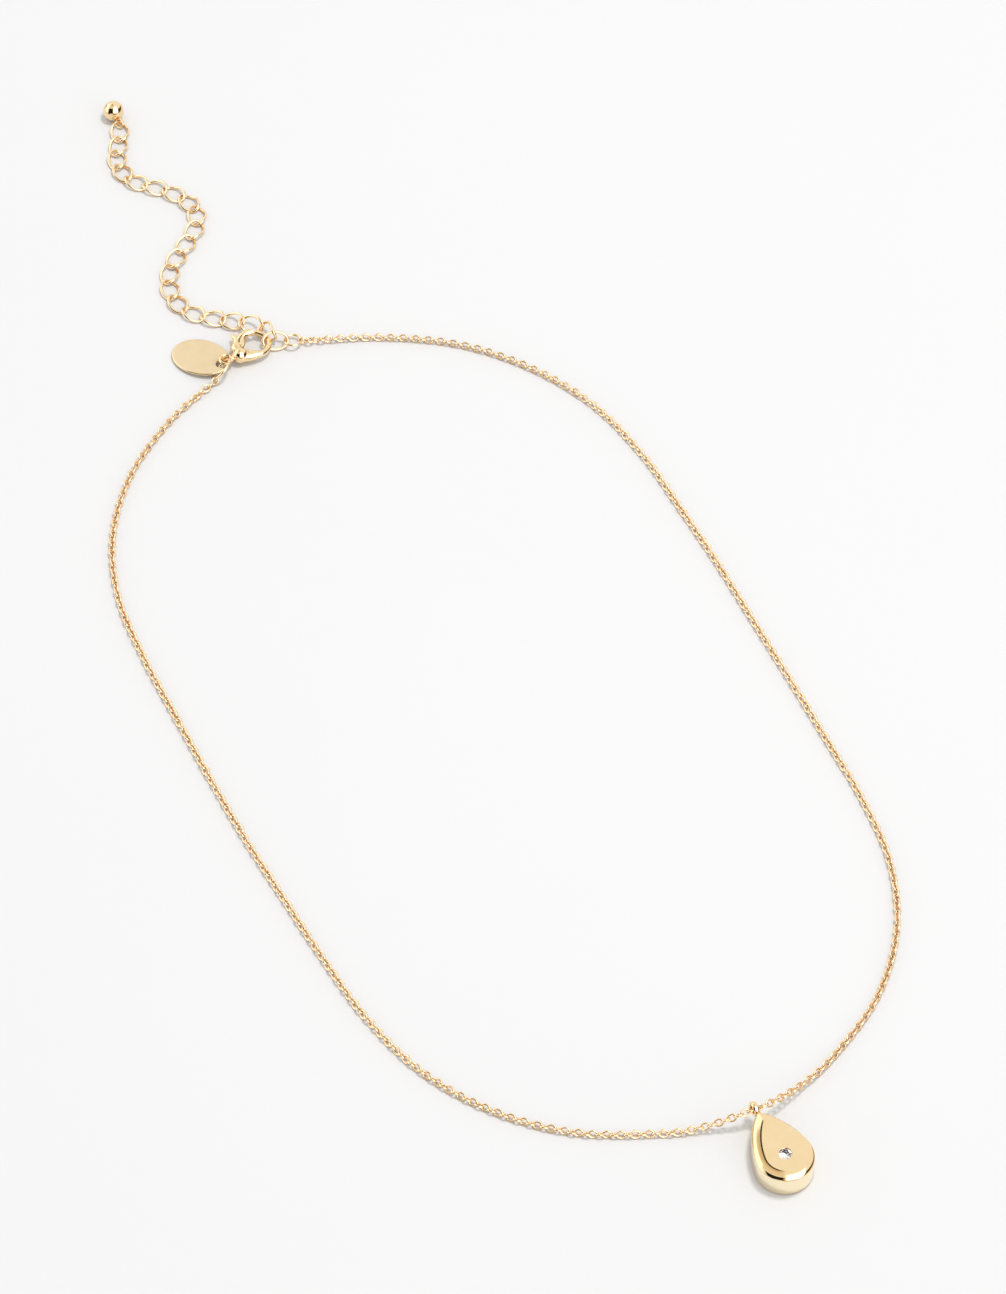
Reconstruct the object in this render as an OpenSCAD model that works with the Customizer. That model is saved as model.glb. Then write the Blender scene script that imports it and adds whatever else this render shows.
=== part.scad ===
// Teardrop pendant necklace, lying open on a table with its clasp fastened.
// Millimetres, +Z up, table at z = 0. +Y runs along the loop, from the pendant to the extender's ball.

/* [Pendant] */
// Length of the teardrop from its round end to its tip
drop_l = 12.35; // [12.1:0.05:12.6]
// Width of the teardrop across its round end
drop_w = 8.5; // [8.3:0.1:8.8]
// Thickness of the teardrop
drop_t = 4.2; // [3.9:0.1:4.5]
// Width of the rounded front rim, seen from the front
rim_w = 1.65; // [1.2:0.05:2]
// Height of the rounded front rim, seen from the side
rim_h = 0.75; // [0.5:0.05:1.2]
// Radius of the small rounding along the back
back_r = 0.35; // [0.2:0.05:0.5]
// Outer diameter of the cast loop at the tip
bail_d = 2.25; // [2.2:0.05:2.4]
// Thickness of the cast loop's band
bail_wire = 0.48; // [0.4:0.02:0.5]
// Width of the cast loop's band, along the chain
bail_band = 0.9; // [0.6:0.05:1]
// Diameter of the stone
stone_d = 1.9; // [1.7:0.05:2.2]

/* [Fine chain] */
// Thickness of the fine chain over its links
chain_d = 1; // [0.8:0.05:1.05]

/* [Extender] */
// Outer length of one link
link_l = 4.4; // [4.38:0.01:4.44]
// Outer width of one link
link_w = 3.2; // [3.15:0.01:3.25]
// Wire of the links
link_wire = 0.42; // [0.36:0.01:0.43]
// Twist of each half of a link, which lets the links lie flat
link_twist = 32; // [31:1:33]
// Diameter of the end ball
ball_d = 3.4; // [3.2:0.05:3.5]
// Outer diameter of the ring between the extender and the fine chain
end_ring_d = 3.1; // [3.05:0.01:3.15]

/* [Clasp] */
// Outer diameter of the claw
claw_d = 5.7; // [5.6:0.05:5.75]
// Thickness of the claw's round bar
claw_bar = 0.95; // [0.85:0.01:0.96]
// Diameter of the rounded hub
hub_d = 2.6; // [2.4:0.05:2.7]
// Thickness of the lever
lever_t = 0.9; // [0.8:0.05:0.95]
// Diameter of the rivet that the lever turns on
rivet_d = 0.7; // [0.6:0.05:0.8]

/* [Jump ring and tag] */
// Outer diameter of the jump ring
jump_d = 4.06; // [4.02:0.01:4.1]
// Wire of the jump ring
jump_wire = 0.46; // [0.42:0.01:0.48]
// Length of the oval tag
tag_l = 9.9; // [9.7:0.05:10]
// Width of the oval tag
tag_w = 7.2; // [7:0.05:7.3]
// Thickness of the tag
tag_t = 0.42; // [0.36:0.01:0.44]

/* [Hidden] */
LINKS = 21;
function link_name(i) = str("extender_link_", i < 10 ? "0" : "", i);
$fn = 48;
gold = "#d9b26a";

// Places as measured on the table, with the pendant's round end near y = 0.
// Route of the fine chain from the end ring, through the pendant's loop, to the jump ring: x, y, height
chain_route = [
    [7.25, 168.8, 0.9], [18.6, 164, 0.5], [29, 156.8, 0.5], [36.7, 147.2, 0.5], [41.7, 136.1, 0.5],
    [43.7, 124, 0.5], [43.8, 111.7, 0.5], [43.6, 99.4, 0.5], [43, 87.1, 0.5], [42.4, 74.8, 0.5],
    [41.7, 62.6, 0.5], [40.9, 50.3, 0.5], [38.8, 38.2, 0.5], [33.6, 27.1, 0.5], [25.2, 18.2, 0.5],
    [14.8, 12.3, 0.5], [7.85, 9.7, 1.2], [2.2, 8.15, 2.85], [-0.84, 8.12, 3.2], [-3.3, 8.4, 2.85],
    [-7.65, 9.8, 1.2], [-13.3, 11.9, 0.5], [-24.2, 17.7, 0.5], [-32.9, 26.3, 0.5], [-38.9, 37, 0.5],
    [-41.8, 49, 0.5], [-42.7, 61.3, 0.5], [-43.1, 73.7, 0.5], [-43.4, 86, 0.5], [-43.2, 98.4, 0.5],
    [-42.8, 110.7, 0.5], [-42.3, 123.1, 0.5], [-40.8, 135.4, 0.5], [-36.5, 146.7, 0.5], [-29, 156.4, 0.5],
    [-19, 163.6, 0.5], [-9.2, 167.7, 0.7]
];
// Joints between the extender's links from the ball's eye to the claw: x, y, height
link_joints = [
    [1.2, 225.3, 0.8], [-0.1, 222.3, 0.6], [-1.9, 219.8, 0.6], [-3, 217, 0.6], [-2.7, 213.9, 0.6],
    [-0.9, 211.2, 0.6], [1.6, 208.9, 0.6], [3.4, 206, 0.6], [4.3, 202.8, 0.6], [3.3, 199.7, 0.6],
    [0.8, 197.3, 0.6], [-2, 195.3, 0.6], [-4.6, 193.1, 0.6], [-6.5, 190.3, 0.6], [-7.3, 187, 0.6],
    [-6.8, 183.8, 0.6], [-4.8, 181, 0.6], [-2.2, 179, 0.6], [0, 176.75, 1.15], [2.35, 174.3, 1.15],
    [3.1, 171.25, 1.9]
];
// Roll of each link about its length, and its twist: the last ones turn up onto the claw
link_rolls = [for (i = [1 : LINKS - 1]) i < 18 ? 0 : i == 18 ? 15 : i == 19 ? 31 : 57];
link_twists = [for (i = [1 : LINKS - 1]) link_twist + (i < 19 ? 0 : i == 19 ? 4 : 8)];

// The last link, pulled through the claw
claw_link_at = [3, 170.6, 1.23];
claw_link_turn = -20;
claw_link_dip = 4;
claw_link_roll = 45;
end_ring_at = [5.6, 169.6, 1];
end_ring_lean = [-8.5, 6, 0];

drop_at = [-1, -0.9, 0];
drop_turn = -1;
// The stone's middle in the drop's face, its girdle's depth below the face, and its heights above and below it
stone_at = [0, 0];
girdle_in = 0.12;
crown_h = 0.28;
pavilion_h = 0.85;
stone_play = 0.05;
seat_drop = 0.1;
culet_room = 0.1;
culet_hole_d = 0.5;
// The cast loop's middle, with its lower edge sunk into the drop's tip
bail_sunk = 0.2;
bail_y = drop_l - drop_w / 2 + bail_d / 2 - bail_sunk;
bail_z = 3.2;

// The end ball and the eye on its short neck
ball_at = [1.25, 227.75, ball_d / 2];
ball_eye_d = 1.7;
ball_eye_wire = 0.34;
ball_eye_reach = 2.42;
ball_eye_turn = -90;
ball_eye_dip = 20.2;
ball_eye_roll = -40;
neck_d = 0.4;
neck_l = 0.25;

// Clasp in its own frame: the eye's centre is its origin, the claw lies along +X
clasp_at = [-5.77, 170.39, 1.6];
clasp_turn = 12;
clasp_dip = 2.6;
claw_at = [5.6, -0.1];
claw_from = -150;
claw_to = 44;
hub_at = [2.3, -0.7];
pivot_at = [2.75, 0.95];
hub_plate_t = 2.1;
pivot_r = 0.75;
slot_r = 1.6;
slot_t = lever_t + 0.16;
rivet_play = 0.05;
lever_gap = 0.06;
eye_r = 0.95;
eye_wire = 0.48;
// Webs of the clasp's hub and spine: start and its radius, end and its radius, thickness
clasp_webs = [
    [hub_at, 1.15, pivot_at, pivot_r, hub_plate_t],
    [[1.35, -0.55], 0.5, [2.1, -0.75], 0.95, 1.2],
    [[2.3, -1], 1.15, [4.5, -2.2], 0.6, 1.4]
];

jump_at = [-7.25, 168.8, 1.68];
jump_tilt = 51;
jump_turn = -45;
tag_hole_at = [-6.65, 170.3, 0.96];
tag_turn = -55;
tag_slope = 4.8;
tag_hole_d = 1.7;
tag_hole_in = 3.75;

// Shapes of the teardrop's outline: the round end's circle, two flatter side arcs and a small tip arc
round_r = drop_w / 2;
tip_r = 0.5;
side_from = 10;
tip_y = drop_l - round_r - tip_r;
side_gain = (tip_y ^ 2 - (round_r - tip_r) ^ 2) / (2 * (round_r - tip_r - tip_y * sin(side_from)));

// Smooth curve through a list of points, with a given number of steps to a stretch
function curve_point(p, i, t) =
    let (a = p[max(i - 1, 0)], b = p[i], c = p[i + 1], d = p[min(i + 2, len(p) - 1)])
    (2 * b + (c - a) * t + (2 * a - 5 * b + 4 * c - d) * t ^ 2 + (3 * b - a - 3 * c + d) * t ^ 3) / 2;
function curve(p, steps) = [
    for (i = [0 : len(p) - 2])
        for (k = [0 : steps - 1]) curve_point(p, i, k / steps),
    p[len(p) - 1]
];
function unit(v) = v / norm(v);
function cross_section(at, along, r, sides) =
    let (side = unit(cross([0, 0, 1], along)), up = cross(along, side))
    [for (k = [0 : sides - 1]) let (a = (k + 0.5) * 360 / sides) at + r * (cos(a) * side + sin(a) * up)];

chain_line = [for (p = curve(chain_route, 2)) [p[0], p[1], max(p[2], chain_d / 2)]];
chain_x = [for (p = chain_line) p[0]];
mid_x = (max(chain_x) + min(chain_x)) / 2;
mid_y = (ball_at[1] + ball_d / 2 + drop_at[1] - round_r) / 2;

// Solid between closed rings of points, either an endless loop or closed by its end rings
module skin(rings, endless) {
    sides = len(rings[0]);
    rows = len(rings);
    walls = [
        for (i = [0 : (endless ? rows : rows - 1) - 1])
            for (k = [0 : sides - 1])
                let (j = (i + 1) % rows, n = (k + 1) % sides)
                each [
                    [i * sides + k, j * sides + k, j * sides + n],
                    [i * sides + k, j * sides + n, i * sides + n]
                ]
    ];
    first = [for (k = [0 : sides - 1]) k];
    last = [for (k = [sides - 1 : -1 : 0]) (rows - 1) * sides + k];
    polyhedron(points = [for (r = rings) each r], faces = endless ? walls : concat(walls, [first, last]));
}

// Round wire ring that lies flat about the origin
module wire_ring(outer_d, wire) {
    rotate_extrude() translate([(outer_d - wire) / 2, 0]) circle(d = wire, $fn = 24);
}

module on_table() {
    translate([-mid_x, -mid_y, 0]) children();
}

module chain() {
    sides = 8;
    r = chain_d / 2 / cos(180 / sides);
    n = len(chain_line);
    rings = [
        for (i = [0 : n - 1])
            let (along = unit(chain_line[min(i + 1, n - 1)] - chain_line[max(i - 1, 0)]))
            cross_section(chain_line[i], along, r, sides)
    ];
    color(gold) on_table() skin(rings, false);
}

// Outline of the teardrop, set in from its full size by a distance
function half_outline(inset) =
    let (
        side_c = -side_gain * [cos(side_from), sin(side_from)],
        side_r = side_gain + round_r - inset,
        end_r = max(tip_r - inset, 0.12),
        end_y = side_c[1] + sqrt((side_r - end_r) ^ 2 - side_c[0] ^ 2),
        side_to = atan2(end_y - side_c[1], -side_c[0])
    )
    concat(
        [for (k = [0 : 15]) let (a = -90 + k * (90 + side_from) / 15) (round_r - inset) * [cos(a), sin(a)]],
        [for (k = [1 : 9]) let (a = side_from + k * (side_to - side_from) / 9) side_c + side_r * [cos(a), sin(a)]],
        [for (k = [1 : 4]) let (a = side_to + k * (90 - side_to) / 4) [0, end_y] + end_r * [cos(a), sin(a)]]
    );
function outline(inset, z) =
    let (half = half_outline(inset), n = len(half))
    concat(
        [for (p = half) [p[0], p[1], z]],
        [for (k = [n - 2 : -1 : 1]) [-half[k][0], half[k][1], z]]
    );

module drop_body() {
    back = [for (a = [0 : 30 : 90]) outline(back_r * (1 - sin(a)), back_r * (1 - cos(a)))];
    front = [for (a = [0 : 15 : 90]) outline(rim_w * (1 - cos(a)), drop_t - rim_h * (1 - sin(a)))];
    skin(concat(back, front), false);
}

// Places its children at the middle of the stone's girdle
module stone_place() {
    translate([stone_at[0], stone_at[1], drop_t - girdle_in]) children();
}

module stone_seat() {
    seat_d = stone_d + 2 * stone_play;
    translate([0, 0, -seat_drop]) cylinder(d = seat_d, h = 1);
    translate([0, 0, -seat_drop - pavilion_h - culet_room])
        cylinder(d1 = culet_hole_d, d2 = seat_d, h = pavilion_h + culet_room + 0.01);
}

// Cast loop: a rounded band bent round the chain
module bail() {
    steps = 16;
    band = [for (k = [0 : steps - 1]) let (a = k * 360 / steps) [bail_wire / 2 * cos(a), bail_band / 2 * sin(a)]];
    translate([0, bail_y, bail_z]) rotate([0, 90, 0])
        rotate_extrude() translate([(bail_d - bail_wire) / 2, 0]) polygon(band);
}

module pendant() {
    color(gold) on_table() translate(drop_at) rotate([0, 0, drop_turn]) {
        difference() {
            drop_body();
            stone_place() stone_seat();
        }
        bail();
    }
}

module stone() {
    facets = 16;
    color("#f4f6fa") on_table() translate(drop_at) rotate([0, 0, drop_turn]) stone_place() {
        cylinder(d1 = stone_d, d2 = 0.57 * stone_d, h = crown_h, $fn = facets);
        translate([0, 0, -pavilion_h]) cylinder(d1 = 0.1, d2 = stone_d, h = pavilion_h, $fn = facets);
    }
}

// Centre line of a twisted oval link about the origin, long way along X
function link_point(a, twist) =
    let (l = (link_l - link_wire) / 2, w = (link_w - link_wire) / 2, turn = twist * cos(a))
    [l * cos(a), w * sin(a) * cos(turn), w * sin(a) * sin(turn)];

module link_shape(twist) {
    steps = 32;
    sides = 8;
    rings = [
        for (k = [0 : steps - 1])
            let (
                a = k * 360 / steps,
                at = link_point(a, twist),
                along = unit(link_point(a + 1, twist) - link_point(a - 1, twist)),
                out = unit(cross(along, cross(at, along))),
                up = cross(along, out)
            )
            [for (s = [0 : sides - 1]) let (b = s * 360 / sides) at + link_wire / 2 * (cos(b) * out + sin(b) * up)]
    ];
    skin(rings, true);
}

module link_between(from, to, roll, twist) {
    d = to - from;
    translate((from + to) / 2)
        rotate([0, -asin(d[2] / norm(d)), atan2(d[1], d[0])])
            rotate([roll, 0, 0]) link_shape(twist);
}

module extender_link(i) {
    color(gold) on_table()
        if (i < LINKS)
            link_between(link_joints[i - 1], link_joints[i], link_rolls[i - 1], link_twists[i - 1]);
        else
            translate(claw_link_at) rotate([0, claw_link_dip, claw_link_turn])
                rotate([claw_link_roll, 0, 0]) link_shape(0);
}

module end_ball() {
    neck_in = 0.1;
    color(gold) on_table() translate(ball_at) {
        sphere(d = ball_d);
        rotate([0, 0, ball_eye_turn]) rotate([0, ball_eye_dip, 0]) {
            translate([ball_d / 2 - neck_in, 0, 0]) rotate([0, 90, 0]) cylinder(d = neck_d, h = neck_l, $fn = 24);
            translate([ball_eye_reach, 0, 0]) rotate([90 + ball_eye_roll, 0, 0]) wire_ring(ball_eye_d, ball_eye_wire);
        }
    }
}

module end_ring() {
    color(gold) on_table() translate(end_ring_at) rotate(end_ring_lean) wire_ring(end_ring_d, link_wire);
}

module clasp_place() {
    on_table() translate(clasp_at) rotate([0, 0, clasp_turn]) rotate([0, clasp_dip, 0]) children();
}

module claw() {
    bar_r = (claw_d - claw_bar) / 2;
    translate([claw_at[0], claw_at[1], 0]) {
        rotate([0, 0, claw_from]) rotate_extrude(angle = claw_to - claw_from)
            translate([bar_r, 0]) circle(d = claw_bar, $fn = 24);
        rotate([0, 0, claw_to]) translate([bar_r, 0, 0]) sphere(d = 0.98 * claw_bar, $fn = 24);
    }
}

// Flat web between two round bosses, half above and half below the clasp's middle
module web(from, from_r, to, to_r, thick) {
    linear_extrude(height = thick, center = true) hull() {
        translate(from) circle(r = from_r, $fn = 32);
        translate(to) circle(r = to_r, $fn = 32);
    }
}

module clasp_body() {
    color(gold) clasp_place() {
        claw();
        wire_ring(2 * eye_r + eye_wire, eye_wire);
        difference() {
            union() {
                translate([hub_at[0], hub_at[1], 0]) sphere(d = hub_d);
                for (w = clasp_webs) web(w[0], w[1], w[2], w[3], w[4]);
            }
            translate([pivot_at[0], pivot_at[1], 0]) cylinder(r = slot_r, h = slot_t, center = true);
        }
        translate([pivot_at[0], pivot_at[1], 0]) cylinder(d = rivet_d, h = hub_plate_t, center = true);
    }
}

// Side view of the lever: an arc that closes the claw, then the thumb nub, back and heel
claw_tip = claw_at + (claw_d - claw_bar) / 2 * [cos(claw_to), sin(claw_to)];
lever_reach = norm(claw_tip - pivot_at) - claw_bar / 2 - lever_gap;
lever_outline = concat(
    [for (a = [48 : 8 : 128]) claw_at + claw_d / 2 * [cos(a), sin(a)]],
    [
        [3.62, 2.3], [3.55, 2.6], [3.62, 3.1], [3.5, 3.35], [3.25, 3.25], [3.1, 2.5], [2.6, 1.7], [2.1, 1.3],
        [2, 0.95], [2.3, 0.4], [2.8, -0.1], [3.4, -0.35], [3.7, -0.1]
    ],
    [for (a = [166 : -8 : 46]) claw_at + (claw_d / 2 - claw_bar) * [cos(a), sin(a)]]
);

module clasp_lever() {
    color(gold) clasp_place() difference() {
        intersection() {
            linear_extrude(height = lever_t, center = true) {
                polygon(lever_outline);
                translate(pivot_at) circle(r = pivot_r, $fn = 48);
            }
            translate([pivot_at[0], pivot_at[1], 0]) cylinder(r = lever_reach, h = 2 * lever_t, center = true, $fn = 128);
        }
        translate([pivot_at[0], pivot_at[1], 0]) cylinder(d = rivet_d + 2 * rivet_play, h = 3 * lever_t, center = true);
    }
}

module jump_ring() {
    color(gold) on_table() translate(jump_at)
        rotate([0, 0, jump_turn]) rotate([0, -jump_tilt, 0]) wire_ring(jump_d, jump_wire);
}

module tag() {
    steps = 72;
    oval = [for (k = [0 : steps - 1]) let (a = k * 360 / steps) [tag_l / 2 * cos(a), tag_w / 2 * sin(a)]];
    color(gold) on_table() translate(tag_hole_at) rotate([0, 0, tag_turn]) rotate([0, -tag_slope, 0])
        difference() {
            translate([-tag_hole_in, 0, 0]) linear_extrude(height = tag_t, center = true) polygon(oval);
            cylinder(d = tag_hole_d, h = 2 * tag_t, center = true);
        }
}

chain();
pendant();
stone();
for (i = [1 : LINKS]) extender_link(i);
end_ball();
end_ring();
clasp_body();
clasp_lever();
jump_ring();
tag();
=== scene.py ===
"""Looks of a teardrop pendant necklace that lies open on a table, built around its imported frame.

Shapes are worked out in millimetres and written to the meshes in metres.
"""

import math

import bpy
import numpy as np
from mathutils import Matrix, Vector

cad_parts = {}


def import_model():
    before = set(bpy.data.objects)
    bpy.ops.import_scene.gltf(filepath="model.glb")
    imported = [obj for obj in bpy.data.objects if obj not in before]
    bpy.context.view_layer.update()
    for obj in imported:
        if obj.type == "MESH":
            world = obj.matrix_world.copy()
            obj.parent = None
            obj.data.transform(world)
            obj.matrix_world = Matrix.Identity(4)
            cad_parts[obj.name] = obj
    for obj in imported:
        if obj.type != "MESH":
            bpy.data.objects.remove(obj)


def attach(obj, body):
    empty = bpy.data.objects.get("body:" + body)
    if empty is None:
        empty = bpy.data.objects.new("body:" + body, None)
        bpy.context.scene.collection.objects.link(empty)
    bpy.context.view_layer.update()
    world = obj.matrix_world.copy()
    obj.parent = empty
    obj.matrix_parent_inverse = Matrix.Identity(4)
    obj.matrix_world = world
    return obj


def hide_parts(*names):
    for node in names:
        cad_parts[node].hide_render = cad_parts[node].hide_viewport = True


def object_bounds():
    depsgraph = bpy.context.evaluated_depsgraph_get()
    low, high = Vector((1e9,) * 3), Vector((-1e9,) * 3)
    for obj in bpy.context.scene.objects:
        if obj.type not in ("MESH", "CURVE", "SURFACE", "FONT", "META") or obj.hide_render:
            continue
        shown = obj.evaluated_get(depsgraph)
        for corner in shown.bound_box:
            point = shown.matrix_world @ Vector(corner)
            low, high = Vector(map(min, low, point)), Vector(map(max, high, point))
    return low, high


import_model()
CAD_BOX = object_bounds()
scene = bpy.context.scene

MM = 0.001
# Middle of the necklace in the measured plan that the numbers below come from
MID = np.array([0.24375, 112.15, 0.0])
BOX_LOW, BOX_HIGH = np.array(CAD_BOX[0]) / MM, np.array(CAD_BOX[1]) / MM
rng = np.random.default_rng(11)

# Camera: height over the table, its place in the plan, how far the picture is turned, its pitch and lens
CAMERA_HEIGHT = 621.5
PICTURE_TURN = math.radians(27.5)
CAMERA_PITCH = math.radians(52.0)
FOCAL_PX = 5200.0
IMAGE_W, IMAGE_H = 1006, 1294
ORIGIN_PX = (787.0, 1162.0)
RIGHT = np.array([math.cos(PICTURE_TURN), -math.sin(PICTURE_TURN), 0.0])
AWAY = np.array([math.sin(PICTURE_TURN), math.cos(PICTURE_TURN), 0.0])
UP = np.array([0.0, 0.0, 1.0])


def unit(v):
    v = np.asarray(v, float)
    return v / np.linalg.norm(v)


def rot_x(deg):
    c, s = math.cos(math.radians(deg)), math.sin(math.radians(deg))
    return np.array([[1, 0, 0], [0, c, -s], [0, s, c]])


def rot_y(deg):
    c, s = math.cos(math.radians(deg)), math.sin(math.radians(deg))
    return np.array([[c, 0, s], [0, 1, 0], [-s, 0, c]])


def rot_z(deg):
    c, s = math.cos(math.radians(deg)), math.sin(math.radians(deg))
    return np.array([[c, -s, 0], [s, c, 0], [0, 0, 1]])


def placed(points, at, turn):
    """Points turned by a rotation matrix, moved to a place of the measured plan, then into the frame."""
    return np.asarray(points, float) @ np.asarray(turn).T + np.asarray(at, float) - MID


# Materials


def new_material(name, **values):
    m = bpy.data.materials.new(name)
    m.use_nodes = True
    shader = m.node_tree.nodes["Principled BSDF"]
    for key, value in values.items():
        shader.inputs[key.replace("_", " ")].default_value = value
    return m, m.node_tree, shader


def link(tree, a, out, b, inp):
    tree.links.new(a.outputs[out], b.inputs[inp])


def noise(tree, scale, detail=3.0, rough=0.55):
    coords = tree.nodes.new("ShaderNodeTexCoord")
    n = tree.nodes.new("ShaderNodeTexNoise")
    n.inputs["Scale"].default_value = scale
    n.inputs["Detail"].default_value = detail
    n.inputs["Roughness"].default_value = rough
    link(tree, coords, "Object", n, "Vector")
    return n


def ramp(tree, source, out, stops):
    r = tree.nodes.new("ShaderNodeValToRGB")
    e = r.color_ramp.elements
    while len(e) < len(stops):
        e.new(0.5)
    for k, (at, colour) in enumerate(stops):
        e[k].position = at
        e[k].color = (*colour, 1.0) if len(colour) == 3 else colour
    link(tree, source, out, r, "Fac")
    return r


def grey(v):
    return (v, v, v)


def mixed(tree, share, below, colour):
    """Colour laid over another by a share from 0 to 1."""
    mix = tree.nodes.new("ShaderNodeMix")
    mix.data_type = "RGBA"
    tree.links.new(share, mix.inputs["Factor"])
    tree.links.new(below, mix.inputs["A"])
    mix.inputs["B"].default_value = (*colour, 1.0)
    return mix.outputs["Result"]


def gold_material(name, light, warm, rough, wave, painted_hollow_shade=None, reach=0.0006, side=None):
    """Polished plated gold: tone drifts between two golds, polish varies, and a faint ripple bends reflections.

    The hollow tone is painted shade, a dark orange standing in for shade and for gold mirroring gold where the metal
    faces itself within its reach; the side tone is a painted paler sheen on steep walls.
    """
    m, tree, shader = new_material(name, Metallic=1.0)
    colour = ramp(tree, noise(tree, 420.0), "Fac", [(0.3, light), (0.75, warm)]).outputs["Color"]
    if side:
        # Painted sheen: steep walls get a paler tone, standing in for the bright table that they mirror
        normal = tree.nodes.new("ShaderNodeNewGeometry")
        axes = tree.nodes.new("ShaderNodeSeparateXYZ")
        link(tree, normal, "Normal", axes, "Vector")
        painted_wall_sheen = ramp(tree, axes, "Z", [(0.05, grey(1.0)), (0.45, grey(0.0))])
        colour = mixed(tree, painted_wall_sheen.outputs["Color"], colour, side)
    # Painted shade: where ambient occlusion finds metal close by, the colour turns dark orange, standing in for
    # shade and gold mirroring gold
    if painted_hollow_shade:
        shade = tree.nodes.new("ShaderNodeAmbientOcclusion")
        shade.samples = 6
        shade.inputs["Distance"].default_value = reach
        painted_shade_share = ramp(tree, shade, "AO", [(0.2, grey(1.0)), (0.85, grey(0.0))])
        colour = mixed(tree, painted_shade_share.outputs["Color"], colour, painted_hollow_shade)
    tree.links.new(colour, shader.inputs["Base Color"])
    polish = tree.nodes.new("ShaderNodeMapRange")
    polish.inputs["To Min"].default_value = rough * 0.8
    polish.inputs["To Max"].default_value = rough * 1.25
    link(tree, noise(tree, 1900.0, 5.0), "Fac", polish, "Value")
    link(tree, polish, "Result", shader, "Roughness")
    bump = tree.nodes.new("ShaderNodeBump")
    bump.inputs["Strength"].default_value = wave
    bump.inputs["Distance"].default_value = 0.00002
    link(tree, noise(tree, 700.0, 2.0), "Fac", bump, "Height")
    link(tree, bump, "Normal", shader, "Normal")
    return m


# Painted light in the golds: all but the tag's carry a painted dark orange shade in their hollows, and the pendant's
# a painted paler sheen on its steep walls
GOLD_DROP = gold_material(
    "gold_drop", (0.94, 0.735, 0.44), (0.91, 0.69, 0.385), 0.06, 0.07,
    painted_hollow_shade=(0.62, 0.30, 0.10), reach=0.0004, side=(1.0, 0.87, 0.62),
)
GOLD = gold_material("gold_polished", (0.95, 0.75, 0.46), (0.91, 0.69, 0.39), 0.09, 0.10, (0.72, 0.36, 0.11))
GOLD_WIRE = gold_material("gold_wire", (1.0, 0.81, 0.54), (0.96, 0.73, 0.44), 0.13, 0.10, (0.80, 0.42, 0.14))
GOLD_TAG = gold_material("gold_satin", (0.84, 0.67, 0.43), (0.81, 0.63, 0.38), 0.22, 0.16)


def crystal_materials():
    clear, tree, shader = new_material("crystal_clear", Roughness=0.02, IOR=1.9)
    shader.inputs["Transmission Weight"].default_value = 1.0
    tone = ramp(tree, noise(tree, 900.0), "Fac", [(0.2, grey(1.0)), (0.9, (0.96, 0.98, 1.0))])
    link(tree, tone, "Color", shader, "Base Color")
    foil, tree, shader = new_material("crystal_foil", Metallic=1.0, Roughness=0.06)
    tone = ramp(tree, noise(tree, 1500.0), "Fac", [(0.4, grey(0.2)), (0.47, grey(0.97))])
    link(tree, tone, "Color", shader, "Base Color")
    return clear, foil


CRYSTAL, FOIL = crystal_materials()


# Meshes


def add_mesh(name, points, faces, material, replaces=(), body="necklace", smooth=True, sharp=None):
    """A piece from points of the frame in millimetres, which rides on a body and stands for CAD nodes."""
    mesh = bpy.data.meshes.new(name)
    mesh.from_pydata((np.asarray(points) * MM).tolist(), [], [tuple(int(i) for i in f) for f in faces])
    mesh.polygons.foreach_set("use_smooth", [smooth] * len(mesh.polygons))
    if sharp:
        mesh.set_sharp_from_angle(angle=math.radians(sharp))
    mesh.materials.append(material)
    piece = bpy.data.objects.new(name, mesh)
    scene.collection.objects.link(piece)
    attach(piece, body)
    if replaces:
        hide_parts(*replaces)
    return piece


def grid_faces(rows, sides, loop, base=0, caps=False):
    """Quads of rows of closed rings, the last row joined to the first on a loop, else with end caps if wanted."""
    faces = []
    for i in range(rows if loop else rows - 1):
        j = (i + 1) % rows
        for k in range(sides):
            n = (k + 1) % sides
            faces.append((base + i * sides + k, base + i * sides + n, base + j * sides + n, base + j * sides + k))
    if caps:
        faces.append(tuple(base + k for k in range(sides - 1, -1, -1)))
        faces.append(tuple(base + (rows - 1) * sides + k for k in range(sides)))
    return faces


def join(parts):
    points, faces, n = [], [], 0
    for p, f in parts:
        points.append(np.asarray(p, float))
        faces += [tuple(i + n for i in g) for g in f]
        n += len(p)
    return np.concatenate(points), faces


def wire_loop(line, radius, sides):
    """Closed round wire along a loop of points about the origin."""
    n = len(line)
    along = np.roll(line, -1, 0) - np.roll(line, 1, 0)
    along /= np.linalg.norm(along, axis=1)[:, None]
    out = np.cross(along, np.cross(line, along))
    out /= np.linalg.norm(out, axis=1)[:, None]
    up = np.cross(along, out)
    b = np.linspace(0, 2 * np.pi, sides, endpoint=False)
    across = np.cos(b)[None, :, None] * out[:, None] + np.sin(b)[None, :, None] * up[:, None]
    rings = line[:, None] + radius * across
    return rings.reshape(-1, 3), grid_faces(n, sides, True)


def torus(outer, wire, steps=96, sides=20, band=None):
    """Ring about Z. A band makes its section an oval, that high along Z."""
    a = np.linspace(0, 2 * np.pi, steps, endpoint=False)
    b = np.linspace(0, 2 * np.pi, sides, endpoint=False)
    r = (outer - wire) / 2 + wire / 2 * np.cos(b)
    z = -(band or wire) / 2 * np.sin(b)
    rings = np.stack([np.outer(np.cos(a), r), np.outer(np.sin(a), r), np.broadcast_to(z, (steps, sides))], axis=2)
    return rings.reshape(-1, 3), grid_faces(steps, sides, True)


def lathe(profile, steps=64):
    """Solid of revolution about X from (x, radius) points, closed at both ends."""
    a = np.linspace(0, 2 * np.pi, steps, endpoint=False)
    rows = [np.stack([np.full(steps, x), r * np.cos(a), r * np.sin(a)], axis=1) for x, r in profile]
    return np.concatenate(rows), grid_faces(len(rows), steps, False, caps=True)


# Fine chain

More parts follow.
